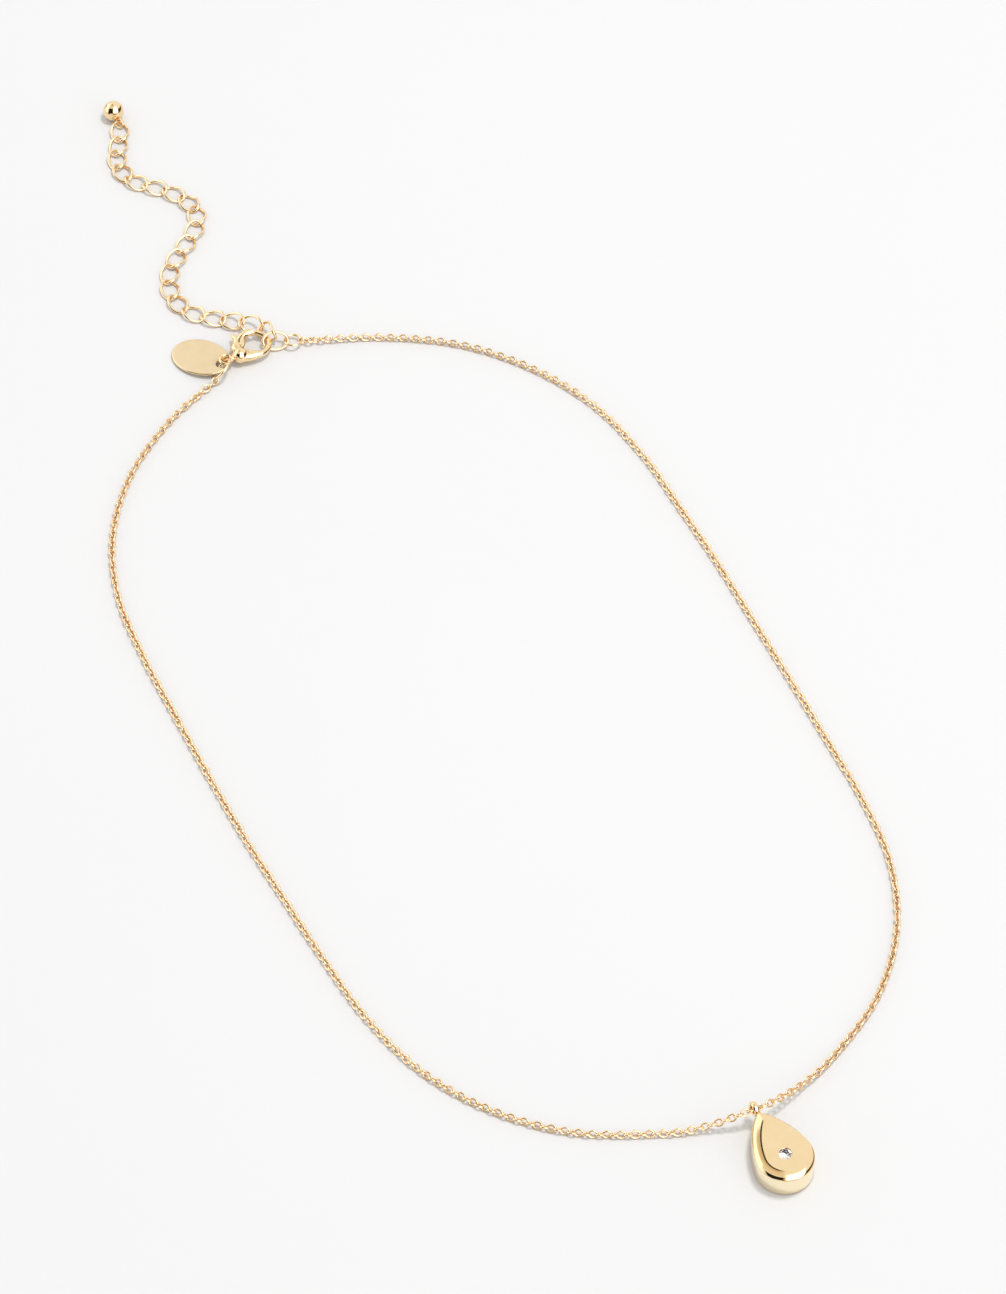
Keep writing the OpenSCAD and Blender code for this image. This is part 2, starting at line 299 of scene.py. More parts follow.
CHAIN_ROUTE = np.array([
    (7.25, 168.8, 0.9), (18.6, 164, 0.5), (29, 156.8, 0.5), (36.7, 147.2, 0.5), (41.7, 136.1, 0.5),
    (43.7, 124, 0.5), (43.8, 111.7, 0.5), (43.6, 99.4, 0.5), (43, 87.1, 0.5), (42.4, 74.8, 0.5),
    (41.7, 62.6, 0.5), (40.9, 50.3, 0.5), (38.8, 38.2, 0.5), (33.6, 27.1, 0.5), (25.2, 18.2, 0.5),
    (14.8, 12.3, 0.5), (7.85, 9.7, 1.2), (2.2, 8.15, 2.85), (-0.84, 8.12, 3.2), (-3.3, 8.4, 2.85),
    (-7.65, 9.8, 1.2), (-13.3, 11.9, 0.5), (-24.2, 17.7, 0.5), (-32.9, 26.3, 0.5), (-38.9, 37, 0.5),
    (-41.8, 49, 0.5), (-42.7, 61.3, 0.5), (-43.1, 73.7, 0.5), (-43.4, 86, 0.5), (-43.2, 98.4, 0.5),
    (-42.8, 110.7, 0.5), (-42.3, 123.1, 0.5), (-40.8, 135.4, 0.5), (-36.5, 146.7, 0.5), (-29, 156.4, 0.5),
    (-19, 163.6, 0.5), (-9.2, 167.7, 0.7),
])
CHAIN_PITCH = 1.0
CHAIN_LINK_L, CHAIN_LINK_W, CHAIN_WIRE = 1.65, 1.3, 0.32
# Lowest that the route's middle and a link's wire may lie
ROUTE_LOW, CHAIN_LOW = 0.5, 0.005
# Every other link is rolled the other way. Roll and yaw spread a little, in degrees
CHAIN_ROLL, ROLL_SPREAD, YAW_SPREAD = 45.0, 5, 2.5
# Links over which the roll changes towards the ring at each end, and the air between end link and ring
END_LINKS = 7
HOOK_AIR = 0.02

# Ring between the extender and the chain, jump ring, and the extender's last link
RING_AT = np.array([5.6, 169.6, 1.0])
RING_TURN = rot_y(6) @ rot_x(-8.5)
RING_D, LINK_WIRE = 3.1, 0.42
JUMP_AT = np.array([-7.25, 168.8, 1.68])
JUMP_TURN = rot_z(-45) @ rot_y(-51)
JUMP_D, JUMP_WIRE = 4.06, 0.46
DROP_AT = np.array([-1.0, -0.9, 0.0])
DROP_TURN = rot_z(-1)
BAIL_D, BAIL_WIRE, BAIL_BAND = 2.25, 0.48, 0.9
BAIL_Y, BAIL_Z = 9.025, 3.2


def smooth_route(p, steps):
    """Curve through points, with so many steps between each two."""
    out = []
    for i in range(len(p) - 1):
        a, b, c, d = p[max(i - 1, 0)], p[i], p[i + 1], p[min(i + 2, len(p) - 1)]
        for t in np.arange(steps) / steps:
            curve = 2 * b + (c - a) * t + (2 * a - 5 * b + 4 * c - d) * t**2 + (3 * b - a - 3 * c + d) * t**3
            out.append(curve / 2)
    return np.array(out + [p[-1]])


def circle_points(at, turn, radius, steps=720):
    a = np.linspace(0, 2 * np.pi, steps, endpoint=False)
    return np.stack([np.cos(a), np.sin(a), 0 * a], axis=1) * radius @ turn.T + at


def hook_on(line_end, heading, ring):
    """How far past the chain's end a ring's wire passes, and the way that wire runs there."""
    k = int(np.argmin(np.linalg.norm(ring - line_end, axis=1)))
    along = unit(ring[(k + 1) % len(ring)] - ring[k - 1])
    return float((ring[k] - line_end) @ heading), along


def chain_links():
    """The way along the chain, the links' places on it, and how the wires of the rings at its ends run."""
    line = smooth_route(CHAIN_ROUTE, 24)
    line[:, 2] = np.maximum(line[:, 2], ROUTE_LOW)
    step = np.linalg.norm(np.diff(line, axis=0), axis=1)
    s = np.concatenate([[0], np.cumsum(step)])
    start, end = unit(line[1] - line[0]), unit(line[-1] - line[-2])

    def at(q):
        p = np.array([np.interp(q, s, line[:, k]) for k in range(3)])
        return p + min(q, 0) * start + max(q - s[-1], 0) * end

    half_in = CHAIN_LINK_L / 2 - CHAIN_WIRE
    past_0, wire_0 = hook_on(line[0], -start, circle_points(RING_AT, RING_TURN, (RING_D - LINK_WIRE) / 2))
    past_1, wire_1 = hook_on(line[-1], end, circle_points(JUMP_AT, JUMP_TURN, (JUMP_D - JUMP_WIRE) / 2))
    first = -past_0 + (half_in - LINK_WIRE / 2 - HOOK_AIR)
    last = s[-1] + past_1 - (half_in - JUMP_WIRE / 2 - HOOK_AIR)
    loop_at = DROP_TURN @ np.array([0, BAIL_Y, BAIL_Z]) + DROP_AT
    bail = s[int(np.argmin(np.linalg.norm(line - loop_at, axis=1)))]
    # Two links hold on to each other inside the pendant's loop
    to, since = bail - CHAIN_PITCH / 2, bail + CHAIN_PITCH / 2
    before = np.linspace(first, to, int(round((to - first) / CHAIN_PITCH)) + 1)
    after = np.linspace(since, last, int(round((last - since) / CHAIN_PITCH)) + 1)
    return at, np.concatenate([before, after]), wire_0, wire_1


def roll_for(along, wire):
    """Roll of a link whose wide way stands across the wire that it hangs on."""
    side = unit(np.cross(UP, along))
    up = np.cross(along, side)
    wide = unit(np.cross(along, wire))
    roll = math.degrees(math.atan2(wide @ up, wide @ side))
    return (roll + 90) % 180 - 90


def fine_chain():
    at, places, wire_0, wire_1 = chain_links()
    a = np.linspace(0, 2 * np.pi, 20, endpoint=False)
    l, w = (CHAIN_LINK_L - CHAIN_WIRE) / 2, (CHAIN_LINK_W - CHAIN_WIRE) / 2
    oval = np.stack([l * np.cos(a), w * np.sin(a), 0 * a], axis=1)
    shape, faces = wire_loop(oval, CHAIN_WIRE / 2, 8)
    n = len(places)
    heads = [unit(at(q + 0.5) - at(q - 0.5)) for q in places]
    rolls = np.array([CHAIN_ROLL if k % 2 == 0 else -CHAIN_ROLL for k in range(n)]) + rng.normal(0, ROLL_SPREAD, n)
    shift_0 = roll_for(heads[0], wire_0) - rolls[0]
    shift_1 = roll_for(heads[-1], wire_1) - rolls[-1]
    for k in range(END_LINKS):
        rolls[k] += ((shift_0 + 90) % 180 - 90) * (1 - k / END_LINKS)
        rolls[n - 1 - k] += ((shift_1 + 90) % 180 - 90) * (1 - k / END_LINKS)
    yaws = rng.normal(0, YAW_SPREAD, n)
    parts = []
    for k, q in enumerate(places):
        along = rot_z(yaws[k]) @ heads[k]
        side = unit(np.cross(UP, along))
        up = np.cross(along, side)
        r = math.radians(rolls[k])
        wide, thick = side * math.cos(r) + up * math.sin(r), up * math.cos(r) - side * math.sin(r)
        p = shape @ np.array([along, wide, thick]) + at(q)
        p[:, 2] += max(0.0, CHAIN_LOW - p[:, 2].min())
        p -= MID
        p[:, 0] += max(0.0, BOX_LOW[0] - p[:, 0].min()) - max(0.0, p[:, 0].max() - BOX_HIGH[0])
        parts.append((p, faces))
    points, faces = join(parts)
    add_mesh("fine_chain", points, faces, GOLD_WIRE, ["chain"])


# Extender

LINK_L, LINK_W, LINK_TWIST = 4.4, 3.2, 32
# Thickness that the wire is shown with, and its lowest place
LINK_SHOWN, LINK_LOW = 0.47, 0.004
# Where each link hooks the one before, from the ball's eye to the claw, and how the links are rolled and twisted
LINK_JOINTS = np.array([
    (1.2, 225.3, 0.8), (-0.1, 222.3, 0.6), (-1.9, 219.8, 0.6), (-3, 217, 0.6), (-2.7, 213.9, 0.6),
    (-0.9, 211.2, 0.6), (1.6, 208.9, 0.6), (3.4, 206, 0.6), (4.3, 202.8, 0.6), (3.3, 199.7, 0.6),
    (0.8, 197.3, 0.6), (-2, 195.3, 0.6), (-4.6, 193.1, 0.6), (-6.5, 190.3, 0.6), (-7.3, 187, 0.6),
    (-6.8, 183.8, 0.6), (-4.8, 181, 0.6), (-2.2, 179, 0.6), (0, 176.75, 1.15), (2.35, 174.3, 1.15),
    (3.1, 171.25, 1.9),
])
LINK_ROLLS = [0] * 17 + [15, 31, 57]
LINK_TWISTS = [LINK_TWIST] * 18 + [LINK_TWIST + 4, LINK_TWIST + 8]
LAST_LINK_AT = (3, 170.6, 1.23)
LAST_LINK_TURN = rot_z(-20) @ rot_y(4) @ rot_x(45)


def link_shape(twist, steps=72, sides=14):
    """Oval link whose two ends are twisted apart, by a number of degrees each."""
    a = np.linspace(0, 2 * np.pi, steps, endpoint=False)
    turn = np.radians(twist) * np.cos(a)
    l, w = (LINK_L - LINK_WIRE) / 2, (LINK_W - LINK_WIRE) / 2
    line = np.stack([l * np.cos(a), w * np.sin(a) * np.cos(turn), w * np.sin(a) * np.sin(turn)], axis=1)
    return wire_loop(line, LINK_SHOWN / 2, sides)


def extender():
    for i in range(1, len(LINK_JOINTS) + 1):
        name = f"extender_link_{i:02d}"
        if i < len(LINK_JOINTS):
            a, b = LINK_JOINTS[i - 1], LINK_JOINTS[i]
            d = b - a
            heading = math.degrees(math.atan2(d[1], d[0]))
            rise = math.degrees(math.asin(d[2] / np.linalg.norm(d)))
            points, faces = link_shape(LINK_TWISTS[i - 1])
            points = placed(points, (a + b) / 2, rot_z(heading) @ rot_y(-rise) @ rot_x(LINK_ROLLS[i - 1]))
        else:
            points, faces = link_shape(0)
            points = placed(points, LAST_LINK_AT, LAST_LINK_TURN)
        points[:, 2] += max(0.0, LINK_LOW - points[:, 2].min())
        add_mesh("smooth_" + name, points, faces, GOLD_WIRE, [name])


def rings():
    points, faces = torus(RING_D, LINK_WIRE)
    add_mesh("smooth_end_ring", placed(points, RING_AT, RING_TURN), faces, GOLD_WIRE, ["end_ring"])
    points, faces = torus(JUMP_D, JUMP_WIRE)
    add_mesh("smooth_jump_ring", placed(points, JUMP_AT, JUMP_TURN), faces, GOLD_WIRE, ["jump_ring"])


BALL_D = 3.4
BALL_AT = np.array([1.25, 227.75, BALL_D / 2])
BALL_EYE_D, BALL_EYE_WIRE, BALL_EYE_REACH, BALL_EYE_DIP, BALL_EYE_ROLL = 1.7, 0.34, 2.42, 20.2, -40
# The neck flares where it leaves the ball
NECK_R, FLARE_R, FLARE_L = 0.2, 0.14, 0.16


def end_ball():
    turn = rot_z(-90) @ rot_y(BALL_EYE_DIP)
    r = BALL_D / 2 - 0.005
    neck_from = math.degrees(math.asin((NECK_R + FLARE_R) / r))
    arc = [math.radians(a) for a in np.linspace(1.5, 180 - neck_from, 48)]
    profile = [(-r * math.cos(a), r * math.sin(a)) for a in arc]
    x0 = profile[-1][0]
    profile += [(x0 + FLARE_L * t, NECK_R + FLARE_R * (1 - t) ** 2) for t in (0.25, 0.5, 0.75, 1.0)]
    profile.append((BALL_EYE_REACH - BALL_EYE_D / 2 + BALL_EYE_WIRE / 2, NECK_R))
    eye, eye_faces = torus(BALL_EYE_D, BALL_EYE_WIRE, 64, 16)
    points, faces = join([lathe(profile), (eye @ rot_x(90 + BALL_EYE_ROLL).T + [BALL_EYE_REACH, 0, 0], eye_faces)])
    add_mesh("smooth_end_ball", placed(points, BALL_AT, turn), faces, GOLD, ["end_ball"], sharp=50)


# Pendant

DROP_L, DROP_W, DROP_T = 12.35, 8.5, 4.2
RIM_W, RIM_H, BACK_R = 1.65, 0.75, 0.35
# Keeps the smooth outline inside the frame's faceted one
DROP_IN = 0.01
ROUND_R, TIP_R, SIDE_FROM = DROP_W / 2, 0.5, 10
TIP_Y = DROP_L - ROUND_R - TIP_R
# How much larger than the round end the radius of the long sides is
SIDE_GAIN = (TIP_Y**2 - (ROUND_R - TIP_R) ** 2) / (2 * (ROUND_R - TIP_R - TIP_Y * math.sin(math.radians(SIDE_FROM))))
STONE_AT, STONE_D = np.array([0.0, 0.0]), 1.9
# Where the stone's lip starts on the face, then radius and depth of lip and seat
LIP_R, SEAT_R = 0.94, STONE_D / 2 + 0.05
SEAT = [
    (0.91, -0.006), (0.89, -0.018), (0.885, -0.032), (0.97, -0.09), (SEAT_R, -0.13), (SEAT_R, -0.3), (0.35, -1.05),
]


def drop_outline(inset, count=240):
    """The drop's outline set in by a distance, as points spread evenly from the bottom, round by the right."""
    f = math.radians(SIDE_FROM)
    centre = -SIDE_GAIN * np.array([math.cos(f), math.sin(f)])
    side_r = SIDE_GAIN + ROUND_R - inset
    end_r = max(TIP_R - inset, 0.12)
    end_y = centre[1] + math.sqrt((side_r - end_r) ** 2 - centre[0] ** 2)
    side_to = math.atan2(end_y - centre[1], -centre[0])
    arc = lambda c, r, a, b, n: [c + r * np.array([math.cos(t), math.sin(t)]) for t in np.linspace(a, b, n)]
    half = arc(np.zeros(2), ROUND_R - inset, -math.pi / 2, f, 60)
    half += arc(centre, side_r, f, side_to, 60)[1:]
    half += arc(np.array([0, end_y]), end_r, side_to, math.pi / 2, 24)[1:]
    half = np.array(half)
    full = np.concatenate([half, (half * [-1, 1])[-2:0:-1]])
    closed = np.vstack([full, full[:1]])
    s = np.concatenate([[0], np.cumsum(np.linalg.norm(np.diff(closed, axis=0), axis=1))])
    top = s[len(half) - 1]
    halves = [np.linspace(a, b, count // 2, endpoint=False) for a, b in ((0, top), (top, s[-1]))]
    q = np.concatenate(halves)
    return np.stack([np.interp(q, s, closed[:, 0]), np.interp(q, s, closed[:, 1])], axis=1)


def pendant():
    """Teardrop built up in rows from the back, over the rim, across the face and down into the stone's seat."""
    count = 240
    rows = []

    def row(flat, z):
        rows.append(np.column_stack([flat, np.full(len(flat), z)]))

    row(drop_outline(BACK_R + 1.2, count) * 0.6, 0.02)
    row(drop_outline(BACK_R + 0.6, count), 0.0)
    for t in np.radians(np.linspace(0, 90, 8)):
        row(drop_outline(DROP_IN + BACK_R * (1 - math.sin(t)), count), BACK_R * (1 - math.cos(t)))
    for t in np.radians(np.linspace(0, 90, 36)):
        row(drop_outline(DROP_IN + RIM_W * (1 - math.cos(t)), count), DROP_T - RIM_H * (1 - math.sin(t)))
    inner = rows[-1][:, :2]
    angle = np.arctan2(inner[:, 1] - STONE_AT[1], inner[:, 0] - STONE_AT[0])
    ring = np.stack([np.cos(angle), np.sin(angle)], axis=1)
    circle = STONE_AT + LIP_R * ring
    for t in np.linspace(0, 1, 14)[1:]:
        row(inner * (1 - t) + circle * t, DROP_T)
    for r, z in SEAT:
        row(STONE_AT + r * ring, DROP_T + z)
    body = (np.concatenate(rows), grid_faces(len(rows), count, False, caps=True))
    loop, loop_faces = torus(BAIL_D, BAIL_WIRE, 96, 24, BAIL_BAND)
    loop = loop @ rot_y(90).T + [0, BAIL_Y, BAIL_Z]
    points, faces = join([body, (loop, loop_faces)])
    add_mesh("smooth_pendant", placed(points, DROP_AT, DROP_TURN), faces, GOLD_DROP, ["pendant"], sharp=55)


def stone():
    """Round brilliant cut: a table, eight stars and kites, girdle and pavilion, with a silvered back."""
    r = STONE_D / 2
    spin = math.radians(9)

    def ringed(radius, z, n, offset):
        a = np.arange(n) * 2 * np.pi / n + offset + spin
        return np.stack([radius * np.cos(a), radius * np.sin(a), np.full(n, z)], axis=1)

    e = np.pi / 8
    table = ringed(0.56 * r, 0.26, 8, 0)
    star = ringed(0.80 * r, 0.16, 8, e)
    upper = ringed(r, 0.02, 16, 0)
    lower = ringed(r, -0.02, 16, 0)
    pavilion = ringed(0.5 * r, -0.42, 8, e)
    points = np.concatenate([table, star, upper, lower, pavilion, [[0, 0, -0.82]]])
    # First point of table, star ring, upper girdle, lower girdle and pavilion, then the tip
    t, s, u, l, p, tip = 0, 8, 16, 32, 48, 56
    faces = [tuple(range(8))]
    for k in range(8):
        n = (k + 1) % 8
        faces += [
            (t + k, s + k, t + n),
            (t + n, s + k, u + 2 * n, s + n),
            (s + k, u + 2 * k, u + 2 * k + 1),
            (s + k, u + 2 * k + 1, u + 2 * n),
            (l + 2 * k, p + k, l + 2 * k + 1),
            (l + 2 * k + 1, p + k, l + 2 * n),
            (l + 2 * n, p + k, tip, p + n),
        ]
    faces += [(u + k, l + k, l + (k + 1) % 16, u + (k + 1) % 16) for k in range(16)]
    low = DROP_T - 0.12
    at = DROP_TURN @ np.array([*STONE_AT, low]) + DROP_AT
    shown = placed(points, at, DROP_TURN)
    add_mesh("brilliant_stone", shown, faces, CRYSTAL, ["stone"], smooth=False)
    back = points[l:].copy() * [1.015, 1.015, 1.0] - [0, 0, 0.02]
    foil = [tuple(i - l for i in f) for f in faces if min(f) >= l]
    add_mesh("stone_foil", placed(back, at, DROP_TURN), foil, FOIL, smooth=False)


# Clasp and tag

CLASP_AT = np.array([-5.77, 170.39, 1.6])
CLASP_TURN = rot_z(12) @ rot_y(2.6)
CLAW_AT, CLAW_D, CLAW_BAR = np.array([5.6, -0.1]), 5.7, 0.95
CLAW_TO = 44
HUB_AT, HUB_D = np.array([2.3, -0.7]), 2.6
PIVOT_AT, PIVOT_R = np.array([2.75, 0.95]), 0.75
SLOT_R, SLOT_T, RIVET_D, LEVER_T, LEVER_GAP = 1.3, 1.06, 0.7, 0.9, 0.06
EYE_R, EYE_WIRE = 0.95, 0.48
# Stops of the claw: angle round its ring, lift and radius. Of neck, cheeks and spine: x, y, height and radius
CLAW = [
    (-150, 0, 0.74), (-120, 0, 0.66), (-92, 0, 0.56), (-62, 0, 0.465),
    (-30, 0, 0.42), (0, 0, 0.40), (22, 0.03, 0.42), (44, 0.12, 0.45),
]
NECK = [(0.85, -0.35, 0, 0.40), (1.2, -0.48, 0, 0.42), (1.6, -0.58, 0, 0.62), (2.2, -0.7, 0, 0.9)]
CHEEKS = [(2.3, -0.6, 0, 0.95), (2.5, 0, 0, 0.9), (2.72, 0.85, 0, 0.95), (2.76, 1.0, 0, 0.9)]
SPINE = [(2.3, -0.95, -0.15, 0.95), (3.1, -1.55, -0.12, 0.8), (3.9, -2.02, -0.08, 0.70), (4.6, -2.25, 0, 0.60)]
# Stops of the lever, each with its flatness last: root and nub like the spine, arch like the claw
LEVER_ROOT = [(2.75, 0.95, 0, 0.82, 0.54), (3.25, 1.05, 0, 0.95, 0.48)]
LEVER_ARCH = [
    (142, 0, 0.92, 0.5), (125, 0.08, 0.8, 0.64), (105, 0.16, 0.69, 0.86),
    (85, 0.24, 0.63, 0.95), (65, 0.26, 0.58, 0.95), (50, 0.22, 0.52, 0.95),
]
LEVER_NUB = [
    (3.2, 1.4, 0, 0.7, 0.7), (3.6, 2.0, 0, 0.58, 0.85), (3.84, 2.55, 0, 0.47, 0.9),
    (3.97, 3.0, 0, 0.43, 0.95), (4.0, 3.15, 0, 0.42, 1),
]


def sphere(at, r, steps=40):
    p, f = lathe([(-r * math.cos(t), r * math.sin(t)) for t in np.linspace(0.02, math.pi - 0.02, steps // 2)], steps)
    return p + np.array([*at, 0.0]) if len(at) == 2 else p + at, f


def prism(outline, thick):
    flat = np.asarray(outline, float)
    n = len(flat)
    low = np.column_stack([flat, np.full(n, -thick / 2)])
    high = np.column_stack([flat, np.full(n, thick / 2)])
    return np.concatenate([low, high]), grid_faces(2, n, False, caps=True)


def cast(parts, voxel, rounds, cuts=()):
    """One smooth casting from overlapping closed shapes, with sharp cuts taken out of it at the end."""
    def temporary(points, faces):
        mesh = bpy.data.meshes.new("temporary")
        mesh.from_pydata(np.asarray(points).tolist(), [], faces)
        o = bpy.data.objects.new("temporary", mesh)
        scene.collection.objects.link(o)
        return o

    body = temporary(*join(parts))
    made = [body]
    remesh = body.modifiers.new("remesh", "REMESH")
    remesh.mode = "VOXEL"
    remesh.voxel_size = voxel
    smooth = body.modifiers.new("smooth", "SMOOTH")
    smooth.factor = 0.5
    smooth.iterations = rounds
    for points, faces in cuts:
        made.append(temporary(points, faces))
        cut = body.modifiers.new("cut", "BOOLEAN")
        cut.operation = "DIFFERENCE"
        cut.solver = "EXACT"
        cut.object = made[-1]
    bpy.context.view_layer.update()
    result = body.evaluated_get(bpy.context.evaluated_depsgraph_get()).to_mesh()
    points = np.empty(len(result.vertices) * 3)
    result.vertices.foreach_get("co", points)
    faces = [tuple(p.vertices) for p in result.polygons]
    for o in made:
        bpy.data.objects.remove(o)
    return points.reshape(-1, 3), faces


def disc(at, r, thick, steps=64):
    a = np.linspace(0, 2 * np.pi, steps, endpoint=False)
    return prism(np.asarray(at) + r * np.stack([np.cos(a), np.sin(a)], axis=1), thick)


def limb(stops, count):
    """Round limb through (x, y, height, radius, flatness) stops, as overlapping balls. Without flatness it is 1."""
    stops = [(*s, 1)[:5] for s in stops]
    parts = []
    for x, y, z, r, flat in smooth_route(np.array(stops, float), count):
        points, faces = sphere((0, 0), r, 20)
        parts.append((points * [1, 1, flat] + [x, y, z], faces))
    return parts


def on_claw(turn, lift):
    """Place on the ring that claw and lever follow, by its angle."""
    a = math.radians(turn)
    return (*(CLAW_AT + (CLAW_D - CLAW_BAR) / 2 * np.array([math.cos(a), math.sin(a)])), lift)


def outside(at, r, thick):
    """Everything out of reach of a radius, as a shape to cut with."""
    steps = 96
    a = np.linspace(0, 2 * np.pi, steps, endpoint=False)
    corners = [(r, -thick), (r, thick), (r + 4, thick), (r + 4, -thick)]
    rows = np.array([[(at[0] + q * math.cos(t), at[1] + q * math.sin(t), z) for q, z in corners] for t in a])
    return rows.reshape(-1, 3), grid_faces(steps, 4, True)


def clasp():
    claw = limb([(*on_claw(t, lift), r) for t, lift, r in CLAW], 12)
    eye = torus(2 * EYE_R + EYE_WIRE, EYE_WIRE, 64, 20)
    hub = sphere(HUB_AT, HUB_D / 2 - 0.02, 48)
    body = claw + limb(NECK, 5) + limb(CHEEKS, 6) + limb(SPINE, 6) + [eye, hub]
    points, faces = cast(body, 0.06, 4, [disc(PIVOT_AT, SLOT_R, SLOT_T)])
    rivet = disc(PIVOT_AT, RIVET_D / 2, 1.8, 40)
    points, faces = join([(points, faces), rivet])
    add_mesh("smooth_clasp_body", placed(points, CLASP_AT, CLASP_TURN), faces, GOLD, ["clasp_body"], sharp=42)

    arch = [(*on_claw(t, lift), r, flat) for t, lift, r, flat in LEVER_ARCH]
    boss = disc(PIVOT_AT, PIVOT_R, LEVER_T - 0.02)
    # The lever ends just short of the claw's tip
    to_tip = float(np.linalg.norm(np.array(on_claw(CLAW_TO, 0)[:2]) - PIVOT_AT))
    reach = to_tip - CLAW_BAR / 2 - LEVER_GAP
    cuts = [disc(PIVOT_AT, RIVET_D / 2 + 0.05, 2 * LEVER_T, 40), outside(PIVOT_AT, reach, 3)]
    points, faces = cast(limb(LEVER_ROOT + arch, 8) + limb(LEVER_NUB, 8) + [boss], 0.045, 4, cuts)
    points = placed(points, CLASP_AT, CLASP_TURN)
    add_mesh("smooth_clasp_lever", points, faces, GOLD, ["clasp_lever"], body="lever", sharp=42)


TAG_AT = (-6.65, 170.3, 0.96)
TAG_TURN = rot_z(-55) @ rot_y(-4.8)
TAG_L, TAG_W, TAG_T, TAG_HOLE_D, TAG_HOLE_IN = 9.9, 7.2, 0.42, 1.7, 3.75
# Rounding of its rim and of its hole
TAG_EDGE, HOLE_EDGE = 0.17, 0.12


def tag():
    """Oval plate with a hole, rounded at its edges."""
    count = 160
    a = np.linspace(0, 2 * np.pi, count, endpoint=False)
    unit_circle = np.stack([np.cos(a), np.sin(a)], axis=1)
    oval = lambda inset: unit_circle * [TAG_L / 2 - inset, TAG_W / 2 - inset]
    at = np.array([TAG_HOLE_IN, 0])
    heading = np.arctan2(oval(0)[:, 1] - at[1], oval(0)[:, 0] - at[0])
    hole = lambda grow: at + (TAG_HOLE_D / 2 + grow) * np.stack([np.cos(heading), np.sin(heading)], axis=1)
    half = []
    for t in np.radians(np.linspace(0, 90, 8)):
        half.append((oval(TAG_EDGE * (1 - math.cos(t))), TAG_T / 2 - TAG_EDGE * (1 - math.sin(t))))
    outer, inner = oval(TAG_EDGE), hole(HOLE_EDGE)
    for t in np.linspace(0, 1, 12)[1:]:
        half.append((outer * (1 - t) + inner * t, TAG_T / 2))
    for t in np.radians(np.linspace(90, 0, 6))[1:]:
        half.append((hole(HOLE_EDGE * (1 - math.cos(t))), TAG_T / 2 - HOLE_EDGE * (1 - math.sin(t))))
    rows = [np.column_stack([f, np.full(count, z)]) for f, z in half]
    rows += [np.column_stack([f, np.full(count, -z)]) for f, z in half[::-1]]
    points = np.concatenate(rows) - [TAG_HOLE_IN, 0, 0]
    faces = grid_faces(len(rows), count, True)
    add_mesh("smooth_tag", placed(points, TAG_AT, TAG_TURN), faces, GOLD_TAG, ["tag"])


# Surroundings


# Half the table's side and how far it lies below zero, in metres
TABLE_HALF, TABLE_BELOW = 4.0, 0.00001


def floor():
    corners = [(x * TABLE_HALF, y * TABLE_HALF, -TABLE_BELOW) for x, y in ((-1, -1), (1, -1), (1, 1), (-1, 1))]
    mesh = bpy.data.meshes.new("table_top")
    mesh.from_pydata(corners, [], [(0, 1, 2, 3)])
    m, tree, shader = new_material("table_white", Roughness=0.55)
    shader.inputs["Specular IOR Level"].default_value = 0.25
    tone = ramp(tree, noise(tree, 6.0), "Fac", [(0.2, grey(0.737)), (0.8, grey(0.75))])
    link(tree, tone, "Color", shader, "Base Color")
    mesh.materials.append(m)
    o = bpy.data.objects.new("table_top", mesh)
    scene.collection.objects.link(o)


